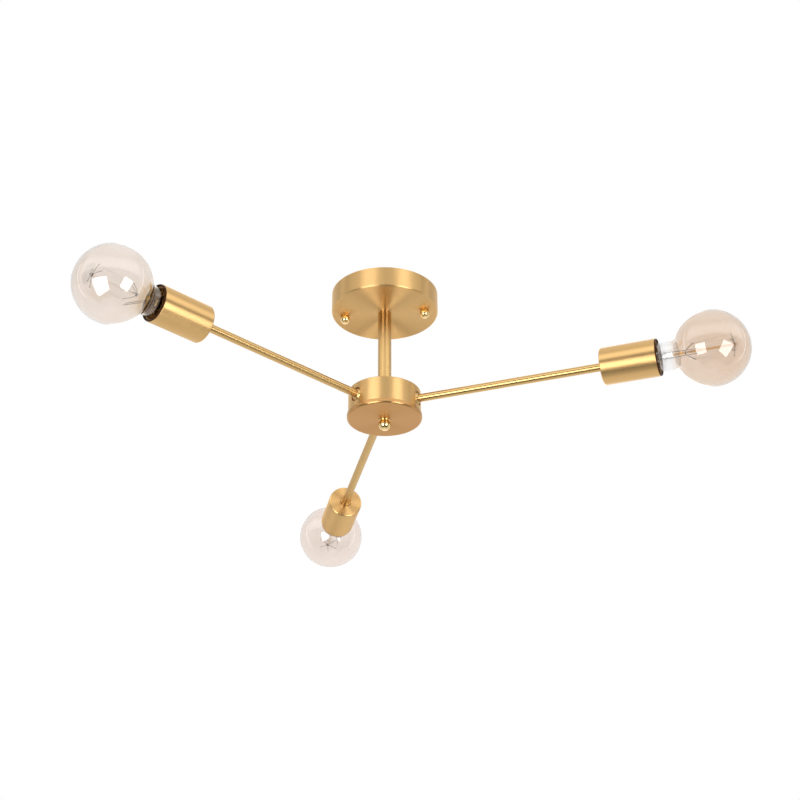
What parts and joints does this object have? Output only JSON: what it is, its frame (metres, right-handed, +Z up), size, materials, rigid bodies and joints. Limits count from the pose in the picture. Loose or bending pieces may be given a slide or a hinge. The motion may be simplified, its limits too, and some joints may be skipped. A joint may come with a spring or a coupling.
{
  "type": "semi-flush chandelier",
  "caption": "Semi-flush chandelier: brushed round canopy, short stem and drum hub with swivelling arms, each with a cylindrical cup and a clear amber globe lamp.",
  "frame": {"origin": "centre of the canopy's open face, in the plane of the ceiling", "axes": "+Z up into the ceiling, +X along the ceiling bracket, +Y away from the picture's viewer"},
  "size_m": [0.658, 0.6792, 0.1941],
  "materials": {
    "brushed_brass": "brushed, lacquered",
    "satin_brass_tube": "satin, lacquered",
    "polished_gold": "polished, gold plated",
    "zinc_steel": "zinc plated",
    "cast_aluminium": "as cast",
    "liner_nylon": "plain",
    "holder_black": "moulded",
    "contact_brass": "rolled",
    "solder": "solder",
    "cap_brass": "rolled, bright",
    "cap_glass_black": "opaque black",
    "amber_glass": "amber tinted, clear",
    "clear_glass": "clear",
    "lamp_wire": "drawn wire"
  },
  "bodies": {
    "hub": {"canopy_shell": "brushed_brass", "ceiling_bracket": "zinc_steel", "bracket_studs": "zinc_steel", "canopy_cap_nuts": "polished_gold", "earth_screw": "zinc_steel", "canopy_washer": "zinc_steel", "canopy_lock_nut": "zinc_steel", "canopy_nipple": "zinc_steel", "stem_tube": "satin_brass_tube", "hub_shell": "brushed_brass", "arm_socket_block": "cast_aluminium", "hub_washer": "zinc_steel", "hub_lock_nut": "zinc_steel", "hub_center_post": "zinc_steel", "hub_cover": "brushed_brass", "hub_finial": "polished_gold"},
    "right_swivel": {"right_ball_liner": "liner_nylon"},
    "right_arm": {"right_swivel_ball": "polished_gold", "right_arm_tube": "satin_brass_tube", "right_cup": "brushed_brass", "right_cup_nut": "zinc_steel", "right_holder_body": "holder_black", "right_screw_shell": "contact_brass", "right_holder_contact": "contact_brass"},
    "right_lamp_thread": {"right_lamp_tip": "solder"},
    "right_lamp": {"right_lamp_cap": "cap_brass", "right_cap_insulator": "cap_glass_black", "right_globe": "amber_glass", "right_glass_stem": "clear_glass", "right_filament_mount": "lamp_wire"},
    "rear_swivel": {"rear_ball_liner": "liner_nylon"},
    "rear_arm": {"rear_swivel_ball": "polished_gold", "rear_arm_tube": "satin_brass_tube", "rear_cup": "brushed_brass", "rear_cup_nut": "zinc_steel", "rear_holder_body": "holder_black", "rear_screw_shell": "contact_brass", "rear_holder_contact": "contact_brass"},
    "rear_lamp_thread": {"rear_lamp_tip": "solder"},
    "rear_lamp": {"rear_lamp_cap": "cap_brass", "rear_cap_insulator": "cap_glass_black", "rear_globe": "amber_glass", "rear_glass_stem": "clear_glass", "rear_filament_mount": "lamp_wire"},
    "left_swivel": {"left_ball_liner": "liner_nylon"},
    "left_arm": {"left_swivel_ball": "polished_gold", "left_arm_tube": "satin_brass_tube", "left_cup": "brushed_brass", "left_cup_nut": "zinc_steel", "left_holder_body": "holder_black", "left_screw_shell": "contact_brass", "left_holder_contact": "contact_brass"},
    "left_lamp_thread": {"left_lamp_tip": "solder"},
    "left_lamp": {"left_lamp_cap": "cap_brass", "left_cap_insulator": "cap_glass_black", "left_globe": "amber_glass", "left_glass_stem": "clear_glass", "left_filament_mount": "lamp_wire"}
  },
  "joints": [
    {"name": "right_arm_swing", "type": "hinge", "parent": "hub", "child": "right_swivel", "pos_m": [0.03189, -0.00772, -0.1403], "axis": [0, 0, 1], "range_deg": [-16.5, 13.5]},
    {"name": "right_arm_tilt", "type": "hinge", "parent": "right_swivel", "child": "right_arm", "pos_m": [0.03189, -0.00772, -0.1403], "axis": [-0.2096, -0.9778, 0], "range_deg": [-15, 15]},
    {"name": "right_lamp_travel", "type": "slide", "parent": "right_arm", "child": "right_lamp_thread", "axis": [0.9778, -0.2096, 0], "range_m": [-0.01232, 0.00572]},
    {"name": "right_lamp_turn", "type": "hinge", "parent": "right_lamp_thread", "child": "right_lamp", "pos_m": [0.35221, -0.07639, -0.1403], "axis": [0.9778, -0.2096, 0], "range_deg": [-1220.2, 565.4]},
    {"name": "rear_arm_swing", "type": "hinge", "parent": "hub", "child": "rear_swivel", "pos_m": [-0.00926, 0.03148, -0.1403], "axis": [0, 0, 1], "range_deg": [-18.7, 11.3]},
    {"name": "rear_arm_tilt", "type": "hinge", "parent": "rear_swivel", "child": "rear_arm", "pos_m": [-0.00926, 0.03148, -0.1403], "axis": [0.9391, 0.3437, 0], "range_deg": [-12.5, 17.5]},
    {"name": "rear_lamp_travel", "type": "slide", "parent": "rear_arm", "child": "rear_lamp_thread", "axis": [-0.3433, 0.9382, -0.0436], "range_m": [-0.00002, 0.01802]},
    {"name": "rear_lamp_turn", "type": "hinge", "parent": "rear_lamp_thread", "child": "rear_lamp", "pos_m": [-0.11752, 0.32729, -0.15405], "axis": [-0.3433, 0.9382, -0.0436], "range_deg": [0, 1785.6]},
    {"name": "left_arm_swing", "type": "hinge", "parent": "hub", "child": "left_swivel", "pos_m": [-0.02263, -0.02376, -0.1403], "axis": [0, 0, 1], "range_deg": [-19.3, 10.7]},
    {"name": "left_arm_tilt", "type": "hinge", "parent": "left_swivel", "child": "left_arm", "pos_m": [-0.02263, -0.02376, -0.1403], "axis": [-0.7738, 0.6334, 0], "range_deg": [-16.2, 13.8]},
    {"name": "left_lamp_travel", "type": "slide", "parent": "left_arm", "child": "left_lamp_thread", "axis": [-0.6332, -0.7737, 0.0209], "range_m": [-0.00552, 0.01252]},
    {"name": "left_lamp_turn", "type": "hinge", "parent": "left_lamp_thread", "child": "left_lamp", "pos_m": [-0.22577, -0.27195, -0.13358], "axis": [-0.6332, -0.7737, 0.0209], "range_deg": [-545.6, 1240]}
  ],
  "couplings": [
    {"joint": "right_lamp_travel", "follows": "right_lamp_turn", "m_per_rad": 0.00057757},
    {"joint": "rear_lamp_travel", "follows": "rear_lamp_turn", "m_per_rad": 0.00057757},
    {"joint": "left_lamp_travel", "follows": "left_lamp_turn", "m_per_rad": 0.00057757}
  ]
}
